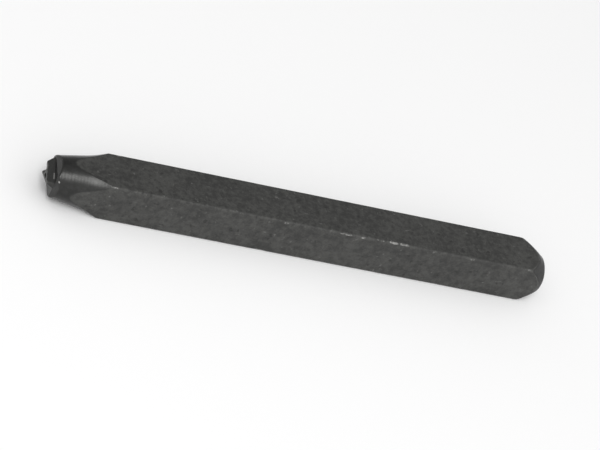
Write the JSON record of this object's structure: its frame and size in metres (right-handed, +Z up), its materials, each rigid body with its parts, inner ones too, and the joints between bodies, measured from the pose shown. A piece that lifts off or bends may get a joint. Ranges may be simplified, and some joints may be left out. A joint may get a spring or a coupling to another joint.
{
  "type": "steel letter punch",
  "caption": "Square steel bar with a turned nose that carries a raised letter for stamping, and a chamfered head for the hammer.",
  "frame": {"origin": "on the surface that the punch lies on, under the middle of its whole length", "axes": "+X along the punch from the letter to the striking head, +Z up through the upper flat, -Y out of the flat that faces the viewer, with the top of the letter towards -Y"},
  "size_m": [0.073, 0.0064, 0.0063],
  "materials": {
    "black_oxide_steel": "satin black oxide over hardened tool steel, rubbed bright along the edges"
  },
  "bodies": {
    "root": {"letter_punch": "black_oxide_steel"}
  },
  "joints": []
}
